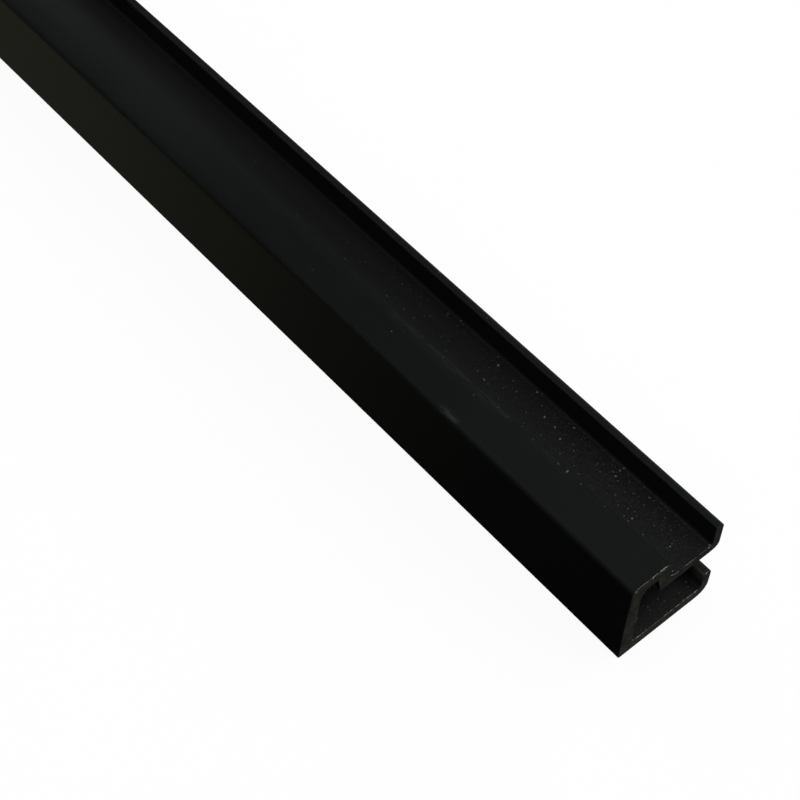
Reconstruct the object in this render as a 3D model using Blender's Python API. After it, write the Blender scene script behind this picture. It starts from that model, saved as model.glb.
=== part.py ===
"""Black plastic tile trim: one straight length of an extruded channel.

The section is a C-shaped channel. Its base lies on the floor, its closed wall is
upright on the -Y side, and its +Y side has an open mouth between a lower lip and
an upper lip. The top is stepped: a flat land beside the closed wall, then a
leaning step down to a recessed floor that ends in the upper lip.

Units are metres, +Z is up, and the length runs along X. The origin is at the
middle of the length and of the width, on the underside of the base.
"""
import math

import bpy
import bmesh

# Overall sizes
LENGTH = 2.5
WIDTH = 0.0120
HEIGHT = 0.0120

# Plates and walls
CLOSED_WALL_THICKNESS = 0.0015
BASE_THICKNESS = 0.0015
LAND_THICKNESS = 0.0015
RECESS_THICKNESS = 0.00115
LIP_THICKNESS = 0.0011

# The stepped top: the land's width, and the step's depth, lean and level thickness
LAND_WIDTH = 0.0049
STEP_DEPTH = 0.0029
STEP_LEAN = 0.0008
STEP_THICKNESS = 0.00175

# How far the upper lip stands above the recessed floor, and the lower lip's top
# above the base's underside
UPPER_LIP_RISE = 0.0028
LOWER_LIP_HEIGHT = 0.0038

# Outside radii
BASE_EDGE_RADIUS = 0.0002
LAND_EDGE_RADIUS = 0.00055
STEP_EDGE_RADIUS = 0.0004
LIP_TOP_RADIUS = 0.0006
LIP_ARRIS_RADIUS = 0.0002
LOWER_HEEL_RADIUS = 0.0015
UPPER_HEEL_RADIUS = 0.0008

# Inside radii
LAND_FILLET_RADIUS = 0.00115
BASE_FILLET_RADIUS = 0.0007
STEP_FILLET_RADIUS = 0.0004

# How finely the round stretches are drawn
ARC_STEP = math.radians(10)
SMOOTH_ANGLE = math.radians(30)

# Finish
PLASTIC_COLOR = (0.008, 0.0085, 0.0085, 1.0)
PLASTIC_ROUGHNESS = 0.5


def section_corners():
    """The section's sharp corners, each (y, z, radius), anticlockwise from the closed
    wall's foot. Here y is measured from the closed wall's outer face."""
    lip_inside = WIDTH - LIP_THICKNESS
    land_underside = HEIGHT - LAND_THICKNESS
    recess_floor = HEIGHT - STEP_DEPTH
    recess_underside = recess_floor - RECESS_THICKNESS
    upper_lip_top = recess_floor + UPPER_LIP_RISE
    step_foot = LAND_WIDTH + STEP_LEAN
    lean = STEP_LEAN / STEP_DEPTH
    step_inside_top = LAND_WIDTH + LAND_THICKNESS * lean - STEP_THICKNESS
    step_inside_foot = step_foot + RECESS_THICKNESS * lean - STEP_THICKNESS
    heel_fillet = max(LOWER_HEEL_RADIUS - LIP_THICKNESS, STEP_FILLET_RADIUS)
    return [
        (0.0, 0.0, BASE_EDGE_RADIUS),
        (WIDTH, 0.0, LOWER_HEEL_RADIUS),
        (WIDTH, LOWER_LIP_HEIGHT, LIP_TOP_RADIUS),
        (lip_inside, LOWER_LIP_HEIGHT, LIP_ARRIS_RADIUS),
        (lip_inside, BASE_THICKNESS, heel_fillet),
        (CLOSED_WALL_THICKNESS, BASE_THICKNESS, BASE_FILLET_RADIUS),
        (CLOSED_WALL_THICKNESS, land_underside, LAND_FILLET_RADIUS),
        (step_inside_top, land_underside, STEP_FILLET_RADIUS),
        (step_inside_foot, recess_underside, STEP_FILLET_RADIUS),
        (WIDTH, recess_underside, UPPER_HEEL_RADIUS),
        (WIDTH, upper_lip_top, LIP_TOP_RADIUS),
        (lip_inside, upper_lip_top, LIP_ARRIS_RADIUS),
        (lip_inside, recess_floor, STEP_FILLET_RADIUS),
        (step_foot, recess_floor, STEP_FILLET_RADIUS),
        (LAND_WIDTH, HEIGHT, STEP_EDGE_RADIUS),
        (0.0, HEIGHT, LAND_EDGE_RADIUS),
    ]


def unit_towards(start, end):
    """The way from one corner to another, with its length."""
    reach = math.hypot(end[0] - start[0], end[1] - start[1])
    return (end[0] - start[0]) / reach, (end[1] - start[1]) / reach, reach


def arc_setbacks(corners):
    """How far along both of its edges each corner's arc begins. Two arcs that are too
    large for the edge between them share it in proportion."""
    wanted = []
    for index, corner in enumerate(corners):
        back = unit_towards(corner, corners[index - 1])
        ahead = unit_towards(corner, corners[(index + 1) % len(corners)])
        opening = math.acos(back[0] * ahead[0] + back[1] * ahead[1])
        wanted.append(corner[2] / math.tan(opening / 2))
    shares = [1.0] * len(corners)
    for index, corner in enumerate(corners):
        following = (index + 1) % len(corners)
        reach = unit_towards(corner, corners[following])[2]
        share = reach / (wanted[index] + wanted[following])
        shares[index] = min(shares[index], share)
        shares[following] = min(shares[following], share)
    return [setback * share for setback, share in zip(wanted, shares)]


def rounded_outline(corners):
    """Points round a closed outline whose corners are replaced by arcs. An arc that begins
    where the one before it ends leaves that point to it."""
    points = []
    setbacks = arc_setbacks(corners)
    for index, (corner, setback) in enumerate(zip(corners, setbacks)):
        y, z = corner[:2]
        back = unit_towards(corner, corners[index - 1])
        ahead = unit_towards(corner, corners[(index + 1) % len(corners)])
        half_opening = math.acos(back[0] * ahead[0] + back[1] * ahead[1]) / 2
        radius = setback * math.tan(half_opening)
        inward = (back[0] + ahead[0], back[1] + ahead[1])
        to_centre = radius / math.sin(half_opening) / math.hypot(*inward)
        centre_y = y + inward[0] * to_centre
        centre_z = z + inward[1] * to_centre
        start = math.atan2(z + back[1] * setback - centre_z, y + back[0] * setback - centre_y)
        end = math.atan2(z + ahead[1] * setback - centre_z, y + ahead[0] * setback - centre_y)
        sweep = (end - start + math.pi) % math.tau - math.pi
        steps = max(2, math.ceil(abs(sweep) / ARC_STEP))
        meets_last_arc = math.isclose(setbacks[index - 1] + setback, back[2])
        for step in range(1 if meets_last_arc else 0, steps + 1):
            angle = start + sweep * step / steps
            points.append((centre_y + radius * math.cos(angle), centre_z + radius * math.sin(angle)))
    return points


def plastic_material():
    """Plain black extruded plastic."""
    material = bpy.data.materials.new("black_plastic")
    material.use_nodes = True
    shader = material.node_tree.nodes["Principled BSDF"]
    shader.inputs["Base Color"].default_value = PLASTIC_COLOR
    shader.inputs["Roughness"].default_value = PLASTIC_ROUGHNESS
    shader.inputs["Metallic"].default_value = 0.0
    return material


def trim_profile():
    """The whole trim: its section pushed along X from one cut end to the other."""
    mesh = bpy.data.meshes.new("trim_profile")
    form = bmesh.new()
    outline = [form.verts.new((-LENGTH / 2, y - WIDTH / 2, z)) for y, z in rounded_outline(section_corners())]
    far_end = form.faces.new(outline)
    pushed = bmesh.ops.extrude_face_region(form, geom=[far_end], use_keep_orig=True)
    near_end = [piece for piece in pushed["geom"] if isinstance(piece, bmesh.types.BMVert)]
    bmesh.ops.translate(form, verts=near_end, vec=(LENGTH, 0.0, 0.0))
    bmesh.ops.recalc_face_normals(form, faces=form.faces[:])
    form.to_mesh(mesh)
    form.free()
    mesh.shade_smooth()
    mesh.set_sharp_from_angle(angle=SMOOTH_ANGLE)
    mesh.materials.append(plastic_material())
    trim = bpy.data.objects.new("trim_profile", mesh)
    bpy.context.scene.collection.objects.link(trim)
    return trim


def main():
    for old in list(bpy.data.objects):
        bpy.data.objects.remove(old, do_unlink=True)
    trim_profile()


main()
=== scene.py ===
"""Looks of the tile trim: one sawn length of black plastic extrusion on a pale floor.

The trim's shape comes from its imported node. This script gives it a finer mesh with
sawn end faces, its die lines, wear and materials, and the loose burr and saw dust
that the near end carries, and sets up the floor, the lamps and the camera.
"""

import math
import random
from types import SimpleNamespace

import bmesh
import bpy
from mathutils import Euler, Matrix, Vector, geometry, kdtree, noise

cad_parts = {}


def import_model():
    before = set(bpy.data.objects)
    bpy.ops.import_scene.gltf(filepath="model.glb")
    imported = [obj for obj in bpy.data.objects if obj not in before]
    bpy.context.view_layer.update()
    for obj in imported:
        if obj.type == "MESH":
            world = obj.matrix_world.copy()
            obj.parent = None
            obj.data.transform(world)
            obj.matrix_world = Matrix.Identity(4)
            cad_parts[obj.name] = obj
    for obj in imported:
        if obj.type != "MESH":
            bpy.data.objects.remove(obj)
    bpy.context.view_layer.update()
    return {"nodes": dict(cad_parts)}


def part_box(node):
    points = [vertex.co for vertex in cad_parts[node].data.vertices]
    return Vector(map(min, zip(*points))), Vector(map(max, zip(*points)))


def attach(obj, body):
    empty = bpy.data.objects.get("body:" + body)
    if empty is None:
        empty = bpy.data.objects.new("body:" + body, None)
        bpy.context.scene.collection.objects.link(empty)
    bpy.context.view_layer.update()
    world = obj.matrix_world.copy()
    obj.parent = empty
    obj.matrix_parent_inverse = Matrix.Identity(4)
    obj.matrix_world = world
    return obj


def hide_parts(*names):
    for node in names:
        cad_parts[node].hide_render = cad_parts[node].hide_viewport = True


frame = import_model()

MM = 0.001
SEED = 11

# The trim's node, its ends and its sides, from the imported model
NODE = "trim_profile"
BODY = "root"
node_low, node_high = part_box(NODE)
NEAR_X = node_high.x
FAR_X = node_low.x
WALL_Y = node_low.y
LIP_Y = node_high.y
TOP_Z = node_high.z

# The section's inner sizes, as the solid has them
WALL_THICKNESS = 1.5 * MM
BASE_THICKNESS = 1.5 * MM
LAND_THICKNESS = 1.5 * MM
LAND_WIDTH = 4.9 * MM
LAND_EDGE_RADIUS = 0.55 * MM
STEP_DEPTH = 2.9 * MM
STEP_LEAN = 0.8 * MM
LIP_THICKNESS = 1.1 * MM
UPPER_LIP_RISE = 2.8 * MM
LOWER_LIP_HEIGHT = 3.8 * MM
RECESS_Z = TOP_Z - STEP_DEPTH
LAND_EDGE_Y = WALL_Y + LAND_WIDTH
RECESS_LEFT_Y = LAND_EDGE_Y + STEP_LEAN
LIP_INSIDE_Y = LIP_Y - LIP_THICKNESS
UPPER_LIP_Z = RECESS_Z + UPPER_LIP_RISE
WALL_INSIDE_Y = WALL_Y + WALL_THICKNESS

# Ways in the scene, and in the section as (y, z)
ALONG = Vector((1.0, 0.0, 0.0))
UP = Vector((0.0, 0.0, 1.0))
UPWARD = (0.0, 1.0)
ASIDE = (1.0, 0.0)

# The camera, at the photograph's place and angle
CAMERA_PLACE = (1.300255, -0.078454, 0.154090)
CAMERA_TURN = (math.radians(36.8756), math.radians(-0.8108), math.radians(49.7441))
CAMERA_AXES = Euler(CAMERA_TURN).to_matrix()
CAMERA_LENS_MM = 82.994
CAMERA_CLIP = (0.005, 100.0)
PICTURE_SIDE = 800
SENSOR_MM = 36.0
FOCAL_PIXELS = CAMERA_LENS_MM / SENSOR_MM * PICTURE_SIDE

# Lamps: the way from the near end to each, its power in watts and its colour. All are
# large soft squares at the same distance.
LAMP_AIM = Vector((NEAR_X - 50 * MM, 0.0, 10 * MM))
LAMP_REACH = 3.0
LAMP_SIDE = 2.0
LAMPS = {
    "camera_side": ((0.45, -0.40, 0.80), 29.0, (0.97, 1.0, 0.97)),
    "top": ((0.0, 0.0, 1.0), 25.6, (1.0, 1.0, 1.0)),
    "open_side_high": ((0.30, 0.60, 0.75), 20.2, (0.96, 0.99, 1.0)),
    "open_side_low": ((-0.10, 0.97, 0.25), 23.1, (0.85, 0.94, 1.0)),
    "far_end": ((-0.90, 0.10, 0.45), 14.4, (0.97, 0.95, 1.0)),
    "cut_end": ((0.85, 0.35, 0.40), 31.0, (1.0, 1.0, 0.97)),
}
# One small lamp low on the closed side, which draws out the near stretch's edge
SMALL_LAMP_OFFSET = (-0.16, -0.055, 0.05)
SMALL_LAMP_AIM = (0.02, 0.05, -0.045)
SMALL_LAMP_SIDE = 0.04
SMALL_LAMP_POWER = 0.0095
SMALL_LAMP_COLOR = (1.0, 1.0, 0.95)

# The sky: white where it is seen, and faint where it lights the trim
WHITE = (1.0, 1.0, 1.0, 1.0)
SKY_SEEN = 1.0
SKY_UNSEEN = 0.08
# The floor: what the camera sees, and what lights the trim. The photograph's closed
# wall mirrors a floor that is dark beside the near end and grows paler along the trim,
# from the first distance to the second, and fades again away from the closed wall.
FLOOR_HALF = 20.0
FLOOR_DROP = 0.02 * MM
FLOOR_GLOW_SEEN = 0.92
FLOOR_COLOR_SEEN = (0.08, 0.08, 0.08, 1.0)
FLOOR_COLOR_UNSEEN = (0.02, 0.02, 0.02, 1.0)
FLOOR_GLOW_UNSEEN = 0.38
FLOOR_GLOW_COLOR = (1.0, 0.97, 0.73, 1.0)
FLOOR_GLOW_ALONG = (5 * MM, 125 * MM)
FLOOR_GLOW_Y = (-75 * MM, -20 * MM)

# How the node's outline is read: what is an end face, what lies at the near end, and to
# how many digits two places are the same
END_FACE_TURN = 0.5
END_SLACK = 0.01 * MM
PLACE_DIGITS = 8

# The finer mesh: its spacing round the section and on the sawn faces, how far a sawn
# face's points stay off its rim, and how unevenly they lie
RING_SPACING = 0.12 * MM
CUT_SPACING = 0.1 * MM
CUT_MARGIN = 0.06 * MM
CUT_UNEVEN = 0.3
CUT_NOISE_LAYERS = (0.5, 7.5)
SHARP_ANGLE = math.radians(40)
DIE_LINE_DEPTH = 0.002 * MM
DIE_LINE_PITCH = 0.35 * MM
DIE_LINE_LAYER = 3.7
# The triangulation of a sawn face keeps what lies inside its rim
KEEP_INSIDE = 1
SAME_POINT = 1e-9

# The worn round where a cut meets the sides: its size on the outer sides and the lips
# and on the inner sides, where the outer ones end, how uneven it is, how many points on
# each side even it out, and how many facets it has
CUT_ROUND_OUTER = 0.10 * MM
CUT_ROUND_INNER = 0.03 * MM
OUTER_WALL_Y = WALL_Y + 0.2 * MM
OUTER_LIP_Y = LIP_INSIDE_Y + 0.1 * MM
OUTER_BASE_Z = 0.1 * MM
CUT_ROUND_UNEVEN = 0.35
CUT_ROUND_PITCH = 0.8 * MM
CUT_ROUND_SPREAD = 2
CUT_ROUND_FACETS = 3

# The saw's marks: the blade's middle beside the section, and the marks' size
SAW_CENTRE = (-0.045, 0.112)
SAW_MARK_PITCH = 0.16 * MM
SAW_GRAIN_PITCH = 0.22 * MM
SAW_MARK_DEPTH = 0.012 * MM

# The body's two materials
SKIN = 0
SAWN = 1

# Zones round the section, for the skin's material: the middle of each, and its reach
STEP_EDGE_ZONE = ((LAND_EDGE_Y - 0.25 * MM, TOP_Z), 1.0 * MM)
STEP_ARC_ZONE = ((LAND_EDGE_Y - 0.05 * MM, TOP_Z - 0.05 * MM), 0.45 * MM)
LAND_EDGE_ZONE = ((WALL_Y + 0.45 * MM, TOP_Z), 0.6 * MM)
HEEL_ZONE = ((LIP_INSIDE_Y - 0.1 * MM, BASE_THICKNESS + 0.1 * MM), 1.3 * MM)
# Two of them lie on the closed wall's top edge, where only the height counts
CORNER_ARC_ZONE = ((TOP_Z - 0.2 * MM,), 0.4 * MM)
CORNER_BAND_ZONE = ((TOP_Z - 0.625 * MM,), 0.36 * MM)
# How far beside a face a point still counts as its own, and the share of the way across
# the recess that stands for every other place
WALL_SLACK = 0.35 * MM
LAND_SLACK = 0.3 * MM
LIP_TOP_SLACK = 0.35 * MM
FACE_SLACK = 0.1 * MM
EDGE_SLACK = 0.05 * MM
OFF_RECESS = 0.47

# Noise in the materials: its scale, all round or along each axis, detail and roughness
STREAK_NOISE = ((25.0, 2600.0, 2600.0), 3.0, 0.6)
BLOTCH_NOISE = (110.0, 2.0, 0.5)
GRAIN_NOISE = (5200.0, 2.0, 0.6)
WEAR_NOISE = ((450.0, 2500.0, 2500.0), 3.0, 0.6)
TORN_NOISE = (2600.0, 4.0, 0.65)
BROAD_NOISE = (800.0, 2.0, 0.5)
BURR_NOISE = (3200.0, 3.0, 0.6)

# A pair of numbers below is the span of a smooth passage, or the two values that it
# joins, and a pair of pairs is both. These two pairs join 0 and 1.
RISING = (0.0, 1.0)
FALLING = (1.0, 0.0)

# The plain skin, a little lighter or darker in streaks and blotches, and on the land a slightly bluer copy, a
# painted tint of the light that falls on the top
SKIN_COLOR = (0.0045, 0.0052, 0.0047, 1.0)
LAND_PAINTED_TINT_COLOR = (0.0044, 0.0050, 0.0049, 1.0)
SKIN_SPECULAR = 0.072
STREAK_SHADE = ((0.25, 0.75), (0.93, 1.07))
BLOTCH_SHADE = ((0.3, 0.7), (-0.06, 0.06))
# Across the recess it has a painted highlight by the step and painted shade by the upper lip, the shade the
# more the farther from the near cut
STEP_SIDE_PAINTED_LIGHT = ((0.1, 0.4), (1.5, 1.0))
LIP_SIDE_PAINTED_SHADE = ((5 * MM, 20 * MM), (-0.06, -0.18))
LIP_SIDE_ACROSS = (0.5, 1.0)

# Painted light and shade that change slowly along the trim. Spans along it are distances behind the near cut,
# and a share is how much lighter or darker the skin gets. The land has painted shade in a middle stretch.
LAND_SHADE_START = (21 * MM, 29 * MM)
LAND_SHADE_END = (56 * MM, 74 * MM)
LAND_SHADE_ACROSS = (WALL_Y + 3.2 * MM, WALL_Y + 4.6 * MM)
LAND_PAINTED_SHADE = -0.2
# The top has painted shade nearby, least beside the upper lip, and far away a painted highlight on its middle
# and painted shade towards the upper lip
NEAR_TOP = (50 * MM, 84 * MM)
NEAR_TOP_FADE = ((0.5, 1.0), (1.0, 0.1))
NEAR_TOP_PAINTED_SHADE = -0.22
FAR_TOP = (50 * MM, 112 * MM)
FAR_LAND_PAINTED_LIGHT = ((WALL_Y + 1.0 * MM, WALL_Y + 4.0 * MM), (0.0, 0.85))
FAR_RECESS_PAINTED_SHADE = ((WALL_Y + 7.0 * MM, WALL_Y + 8.9 * MM), (0.0, -1.1))
# The closed wall's top edge has a painted highlight on its arc nearby and a band of painted shade far away,
# where the land's outer edge has painted shade too
NEAR_CORNER = (66 * MM, 84 * MM)
CORNER_ARC_PAINTED_LIGHT = 0.6
FAR_CORNER = (38 * MM, 66 * MM)
CORNER_BAND_PAINTED_SHADE = -0.8
LAND_EDGE_PAINTED_SHADE = -0.3
# The channel's floor has painted shade a little way in, and so has its bend up to the lower lip
CHANNEL_FLOOR_Z = (BASE_THICKNESS + 0.05 * MM, BASE_THICKNESS + 0.7 * MM)
CHANNEL_FLOOR_FACING = (0.5, 0.95)
CHANNEL_DARK_START = (1.4 * MM, 2.9 * MM)
CHANNEL_DARK_END = (8 * MM, 16 * MM)
CHANNEL_PAINTED_SHADE = -0.85
HEEL_PAINTED_SHADE = -0.5

# Films of saw dust on the faces that look up and on the channel's floor, and a pale painted reflection on the
# lower lip's inner face
FILM_COLOR = (0.020, 0.022, 0.020, 1.0)
FILM_ALONG = (2 * MM, 45 * MM)
FILM_FACING = (0.7, 0.95)
FILM_Z = (RECESS_Z + 0.1 * MM, TOP_Z - 0.2 * MM)
FILM_GRAIN = (0.42, 0.68)
FILM_SHARE = 0.35
CHANNEL_FILM_ALONG = (0.0, 7 * MM)
CHANNEL_FILM_SHARE = 0.14
LIP_PAINTED_REFLECTION_COLOR = (0.040, 0.040, 0.037, 1.0)
LIP_REFLECTION_ALONG = (0.1 * MM, 2.6 * MM)
LIP_REFLECTION_SHARE = ((BASE_THICKNESS + 0.5 * MM, LOWER_LIP_HEIGHT - 0.3 * MM), (0.22, 1.0))

# Pale marks that the photograph shows along the edges: the picture places of their ends, and how strong each
# one on the step's edge is. The land's edge has a scuff, and the step's edge has pale streaks of painted
# highlight and rubbed wear.
LAND_EDGE_SCUFF = ((442.0, 406.0), (457.0, 421.0))
STEP_EDGE_HIGHLIGHTS_AND_WEAR = [
    (((392.0, 311.0), (512.0, 418.0)), 1.0),
    (((532.0, 437.0), (573.0, 473.0)), 0.6),
]
SCUFF_SOFTNESS = 0.6 * MM
STEP_HIGHLIGHT_AND_WEAR_COLOR = (0.030, 0.032, 0.030, 1.0)
STEP_HIGHLIGHT_AND_WEAR_SPAN = (0.38, 0.60)
STEP_HIGHLIGHT_AND_WEAR_SHARE = 0.19
LAND_SCUFF_COLOR = (0.075, 0.080, 0.075, 1.0)
LAND_SCUFF_SPAN = (0.40, 0.60)
LAND_SCUFF_SHARE = 0.24

# The skin's fine bump, its strength and height, and its roughness. The step's arris is
# rubbed dull, so that it catches no sharp line of light.
STREAK_BUMP = 0.35
GRAIN_BUMP = 0.4
SKIN_BUMP = (0.35, 0.012 * MM)
SKIN_ROUGHNESS = ((0.3, 0.7), (0.48, 0.52))
STEP_ARC_DULLNESS = 0.25

# Sawn plastic: its colours, how much torn grain and broad patches whiten it, its bump,
# and its finish. A finish is how much the plastic mirrors, and how rough it is.
CUT_COLORS = ((0.016, 0.017, 0.014, 1.0), (0.050, 0.051, 0.043, 1.0))
CUT_TORN_SHARE = ((0.34, 0.66), (0.0, 0.55))
CUT_BROAD_SHARE = ((0.34, 0.66), (0.0, 0.45))
CUT_BUMP = (0.5, 0.02 * MM)
CUT_FINISH = (0.1, 0.7)
# The face is palest across the base and darker over the step and the recess, and it has painted shade along
# the closed wall's arris towards the top
CUT_BASE_SHARE = ((BASE_THICKNESS * 0.8, BASE_THICKNESS * 1.6), (0.0, 0.2))
CUT_STEP_SHARE = ((RECESS_Z * 0.6, RECESS_Z * 0.8), (0.0, 0.18))
CUT_STEP_START_Y = (LAND_EDGE_Y - 1.5 * MM, LAND_EDGE_Y)
CUT_STEP_END_Y = (LIP_INSIDE_Y - 0.6 * MM, LIP_INSIDE_Y + 0.4 * MM)
CUT_CORNER_PAINTED_SHADE = ((TOP_Z - 5.5 * MM, TOP_Z - 2.0 * MM), (0.0, 0.6))
CUT_CORNER_Y = (WALL_Y, WALL_Y + 0.65 * MM)

DUST_COLORS = ((0.02, 0.021, 0.02, 1.0), (0.21, 0.22, 0.19, 1.0))
DUST_FINISH = (0.3, 0.6)
BURR_COLORS = ((0.03, 0.031, 0.028, 1.0), (0.46, 0.47, 0.43, 1.0))
BURR_TORN_SHARE = ((0.35, 0.65), (0.45, 1.0))
BURR_FINISH = (0.3, 0.55)

# The near cut's arrises that carry burr: both ends of each as (y, z), and the way out
# of the face behind it
ARRISES = {
    "land": ((WALL_Y + LAND_EDGE_RADIUS, TOP_Z), (LAND_EDGE_Y - 0.25 * MM, TOP_Z), UPWARD),
    "recess": ((RECESS_LEFT_Y + 0.3 * MM, RECESS_Z), (LIP_INSIDE_Y - 0.3 * MM, RECESS_Z), UPWARD),
    "base": ((WALL_INSIDE_Y + 0.5 * MM, BASE_THICKNESS), (LIP_INSIDE_Y - 0.4 * MM, BASE_THICKNESS), UPWARD),
    "lower_lip": ((LIP_INSIDE_Y + 0.15 * MM, LOWER_LIP_HEIGHT), (LIP_Y - 0.5 * MM, LOWER_LIP_HEIGHT), UPWARD),
    "wall_inside": ((WALL_INSIDE_Y, BASE_THICKNESS + 0.7 * MM),
                    (WALL_INSIDE_Y, TOP_Z - LAND_THICKNESS - 1.2 * MM), ASIDE),
}
# Burr seen in the photograph: its arris, the picture places of its two ends, how far it
# stands up in millimetres, and how pale it is
BURRS = [
    ("land", (634.5, 592.3), (669.0, 566.6), 0.03, 0.15),
    ("land", (634.5, 592.3), (639.0, 589.0), 0.05, 0.3),
    ("land", (640.0, 588.3), (648.5, 581.9), 0.09, 0.42),
    ("land", (652.0, 579.3), (658.5, 574.5), 0.14, 0.5),
    ("land", (660.3, 573.1), (667.0, 568.0), 0.25, 1.0),
    ("recess", (685.0, 566.5), (693.5, 559.5), 0.11, 0.48),
    ("recess", (693.5, 559.5), (697.0, 557.0), 0.04, 0.14),
    ("recess", (699.3, 554.9), (702.0, 552.8), 0.06, 0.22),
    ("recess", (702.0, 552.8), (707.0, 548.6), 0.03, 0.15),
    ("recess", (708.2, 547.6), (710.0, 546.0), 0.14, 0.75),
    ("base", (634.0, 638.0), (698.0, 590.0), 0.03, 0.2),
    ("base", (635.0, 637.3), (644.5, 630.2), 0.12, 0.95),
    ("base", (644.5, 630.2), (648.0, 627.5), 0.08, 0.55),
    ("base", (654.3, 622.8), (656.5, 621.2), 0.08, 0.6),
    ("base", (657.8, 620.2), (660.0, 618.6), 0.08, 0.6),
    ("base", (663.5, 616.0), (669.0, 611.8), 0.13, 0.85),
    ("base", (669.7, 611.2), (672.3, 609.3), 0.14, 1.0),
    ("base", (675.0, 607.2), (679.3, 604.0), 0.12, 1.0),
    ("base", (681.6, 602.4), (684.3, 600.3), 0.20, 1.0),
    ("base", (686.5, 598.6), (690.5, 595.6), 0.15, 0.9),
    ("base", (690.5, 595.6), (693.0, 593.8), 0.12, 0.7),
    ("base", (693.0, 593.8), (697.0, 590.8), 0.18, 0.95),
    ("lower_lip", (703.5, 574.0), (709.0, 570.5), 0.09, 0.6),
    ("wall_inside", (636.5, 622.0), (638.5, 615.5), 0.04, 0.1),
]
BURR_SHORTEST_SHARE = 0.001
BURR_STEP = 0.045 * MM
BURR_FEWEST_STEPS = 3
BURR_TAPER_STEPS = 1.6
# A burr's height is a share of its rise: the least, the usual, and what raggedness adds
BURR_LEAST = 0.12
BURR_USUAL = 0.55
BURR_RAGGED = 0.75
# Its profile: the tip leans forward or back, the root lies behind the arris, and the foot
# is on the cut face. The root and the foot are a little less pale than the tip.
BURR_LEAN = 0.05 * MM
BURR_TIP_FORWARD = 0.012 * MM
BURR_ROOT = 0.03 * MM
BURR_ROOT_SHARE = 0.45
BURR_ROOT_SINK = 0.006 * MM
BURR_ROOT_UNEVEN = 0.5
BURR_ROOT_PALE = 0.6
BURR_FOOT_FORWARD = 0.008 * MM
BURR_FOOT_SINK = 0.02 * MM
BURR_FOOT_SHARE = 0.65
BURR_FOOT_PALE = 0.85
# The noise that shapes it: its pitch, how much finer or broader its other parts are, how
# strong the fine part is, and how far apart neighbouring burrs read it
BURR_PITCH = 0.11 * MM
BURR_FINE = 2.7
BURR_FINE_SHARE = 0.5
BURR_BROAD = 0.6
BURR_RAGGED_ROWS = 5.3
BURR_FINE_ROWS = 3.1
BURR_LEAN_ROWS = 1.7
BURR_LEAN_LAYER = 4.2
BURR_ROOT_LAYER = 9.1

# Knots of burr on the cut face, the first of them a painted highlight: picture place across and down, width
# in pixels, and how pale. Then torn threads that lie on it: the picture places of both ends, width, pale.
BURR_KNOTS = [
    # the first knot, at the closed wall's top corner, is a pale knot standing in for light caught on the
    # cut's arris, a painted highlight
    (635.8, 591.8, 3.2, 0.35), (673.5, 570.2, 1.8, 0.6), (635.3, 636.5, 1.8, 0.6),
    (638.0, 617.5, 2.0, 0.12), (706.0, 573.5, 2.0, 0.6), (653.0, 578.2, 2.2, 0.8), (694.5, 592.5, 2.0, 0.7),
]
BURR_DASHES = [((671.2, 575.6), (677.8, 571.7), 1.3, 0.5)]
# A thread is a row of beads, this share of its width apart and unevenly pale
BEAD_SPACING = 0.6
BEAD_PALE = (0.6, 1.1)

# The level surfaces that dust lies on: the height of each, and its reach across
BEDS = {
    "land": (TOP_Z, WALL_Y + 0.5 * MM, LAND_EDGE_Y - 0.3 * MM),
    "upper_lip": (UPPER_LIP_Z, LIP_INSIDE_Y + 0.15 * MM, LIP_Y - 0.5 * MM),
    "recess": (RECESS_Z, RECESS_LEFT_Y + 0.2 * MM, LIP_INSIDE_Y - 0.1 * MM),
    "channel": (BASE_THICKNESS, WALL_INSIDE_Y, LIP_INSIDE_Y),
}
TOP_BEDS = ("land", "upper_lip", "recess")
CHANNEL_BEDS = ("channel",)
BED_SLACK = 0.5 * MM

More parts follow.
